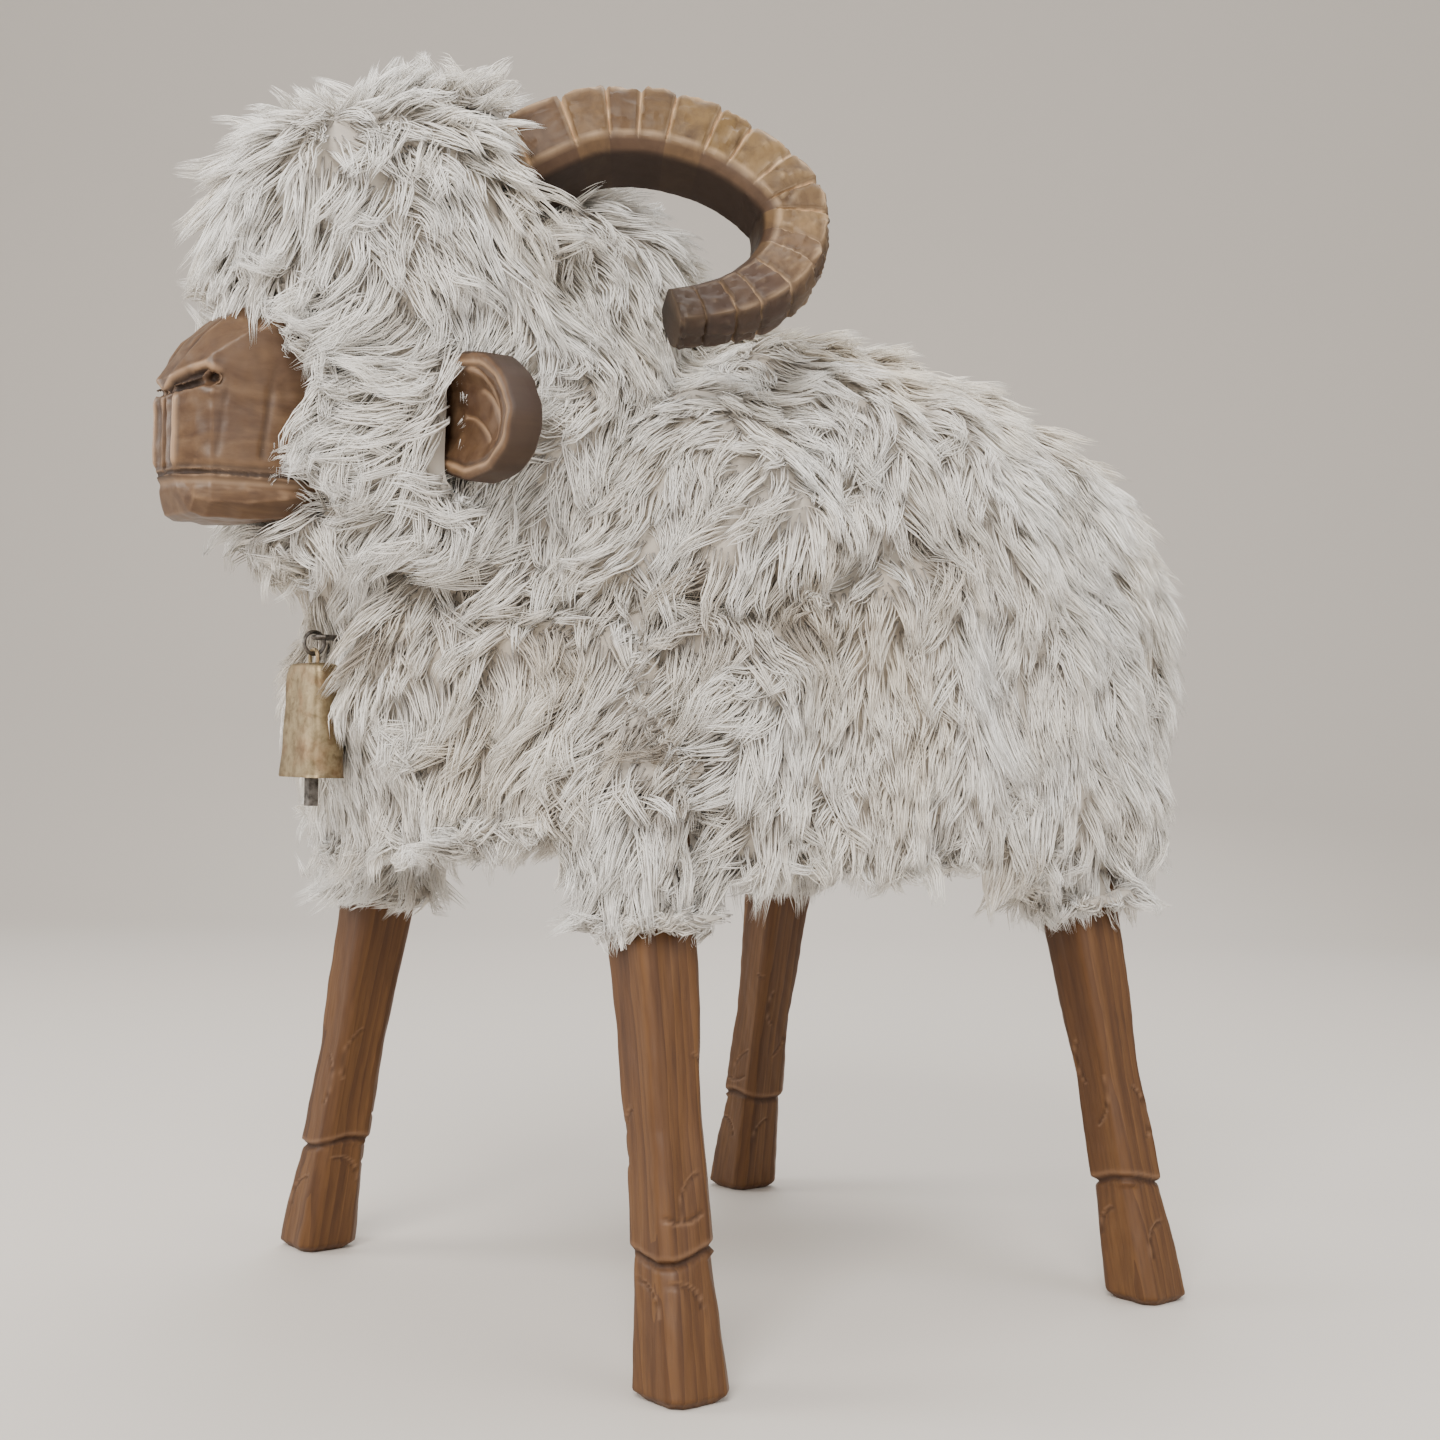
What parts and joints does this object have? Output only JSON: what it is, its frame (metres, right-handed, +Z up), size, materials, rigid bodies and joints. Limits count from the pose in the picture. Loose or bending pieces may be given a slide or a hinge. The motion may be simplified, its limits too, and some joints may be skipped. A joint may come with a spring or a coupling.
{
  "type": "ram stool",
  "caption": "Footstool shaped as a standing ram: carved wooden head, curled horns, ears and splayed legs, a padded body under long sheepskin, and a bell hung at the chest.",
  "frame": {"origin": "on the floor, under the middle of the object's width and length", "axes": "+Z up; the ram faces -Y; +X is its left side"},
  "size_m": [0.3902, 0.596, 0.64],
  "materials": {
    "stained_pine": "reddish-brown stain, low sheen",
    "carved_head_wood": "milk-brown wax finish, satin",
    "horn_wood": "brown stain over pale wood, satin",
    "raw_frame_wood": "bare sawn",
    "plywood": "bare",
    "beech_dowel": "bare",
    "padding": "soft foam",
    "hessian": "woven",
    "sheepskin": "long off-white wool",
    "zinc_steel": "zinc plated",
    "dark_steel": "dark, worn",
    "aged_brass": "aged"
  },
  "bodies": {
    "ram": {"leg_front_left": "stained_pine", "leg_front_right": "stained_pine", "leg_rear_left": "stained_pine", "leg_rear_right": "stained_pine", "leg_bolt_front_left": "zinc_steel", "leg_bolt_front_right": "zinc_steel", "leg_bolt_rear_left": "zinc_steel", "leg_bolt_rear_right": "zinc_steel", "bolster_front": "raw_frame_wood", "bolster_rear": "raw_frame_wood", "side_rail_left": "raw_frame_wood", "side_rail_right": "raw_frame_wood", "rail_dowel_front_left": "beech_dowel", "rail_dowel_front_right": "beech_dowel", "rail_dowel_rear_left": "beech_dowel", "rail_dowel_rear_right": "beech_dowel", "seat_board": "plywood", "seat_screw_front_left": "zinc_steel", "seat_screw_front_right": "zinc_steel", "seat_screw_rear_left": "zinc_steel", "seat_screw_rear_right": "zinc_steel", "neck_post": "raw_frame_wood", "neck_bolt_lower": "zinc_steel", "neck_bolt_upper": "zinc_steel", "head_block": "carved_head_wood", "head_screw": "zinc_steel", "horn_left": "horn_wood", "horn_right": "horn_wood", "horn_dowel_left": "beech_dowel", "horn_dowel_right": "beech_dowel", "ear_left": "carved_head_wood", "ear_right": "carved_head_wood", "ear_dowel_left": "beech_dowel", "ear_dowel_right": "beech_dowel", "fleece_back": "sheepskin", "fleece_flank_left": "sheepskin", "fleece_flank_right": "sheepskin", "fleece_chest": "sheepskin", "fleece_rump": "sheepskin", "fleece_neck": "sheepskin", "fleece_head": "sheepskin", "fleece_cuff_front_left": "sheepskin", "fleece_cuff_front_right": "sheepskin", "fleece_cuff_rear_left": "sheepskin", "fleece_cuff_rear_right": "sheepskin", "seat_cushion": "padding", "side_pad_left": "padding", "side_pad_right": "padding", "dust_cover": "hessian", "cover_tack_front_left": "zinc_steel", "cover_tack_front_right": "zinc_steel", "cover_tack_rear_left": "zinc_steel", "cover_tack_rear_right": "zinc_steel", "bell_screw_eye": "dark_steel"},
    "ring": {"bell_ring": "dark_steel"},
    "bell": {"bell_loop": "aged_brass", "bell_body": "aged_brass", "clapper_hook": "dark_steel"},
    "clapper": {"clapper": "dark_steel"}
  },
  "joints": [
    {"name": "bell_swing", "type": "hinge", "parent": "ram", "child": "ring", "pos_m": [0, -0.218, 0.347], "axis": [-1, 0, 0], "range_deg": [0, 60]},
    {"name": "bell_sway", "type": "hinge", "parent": "ring", "child": "bell", "pos_m": [0, -0.218, 0.33855], "axis": [0, 1, 0], "range_deg": [-30, 30]},
    {"name": "clapper_swing", "type": "hinge", "parent": "bell", "child": "clapper", "pos_m": [0, -0.218, 0.32635], "axis": [0, 1, 0], "range_deg": [-14, 14]}
  ]
}
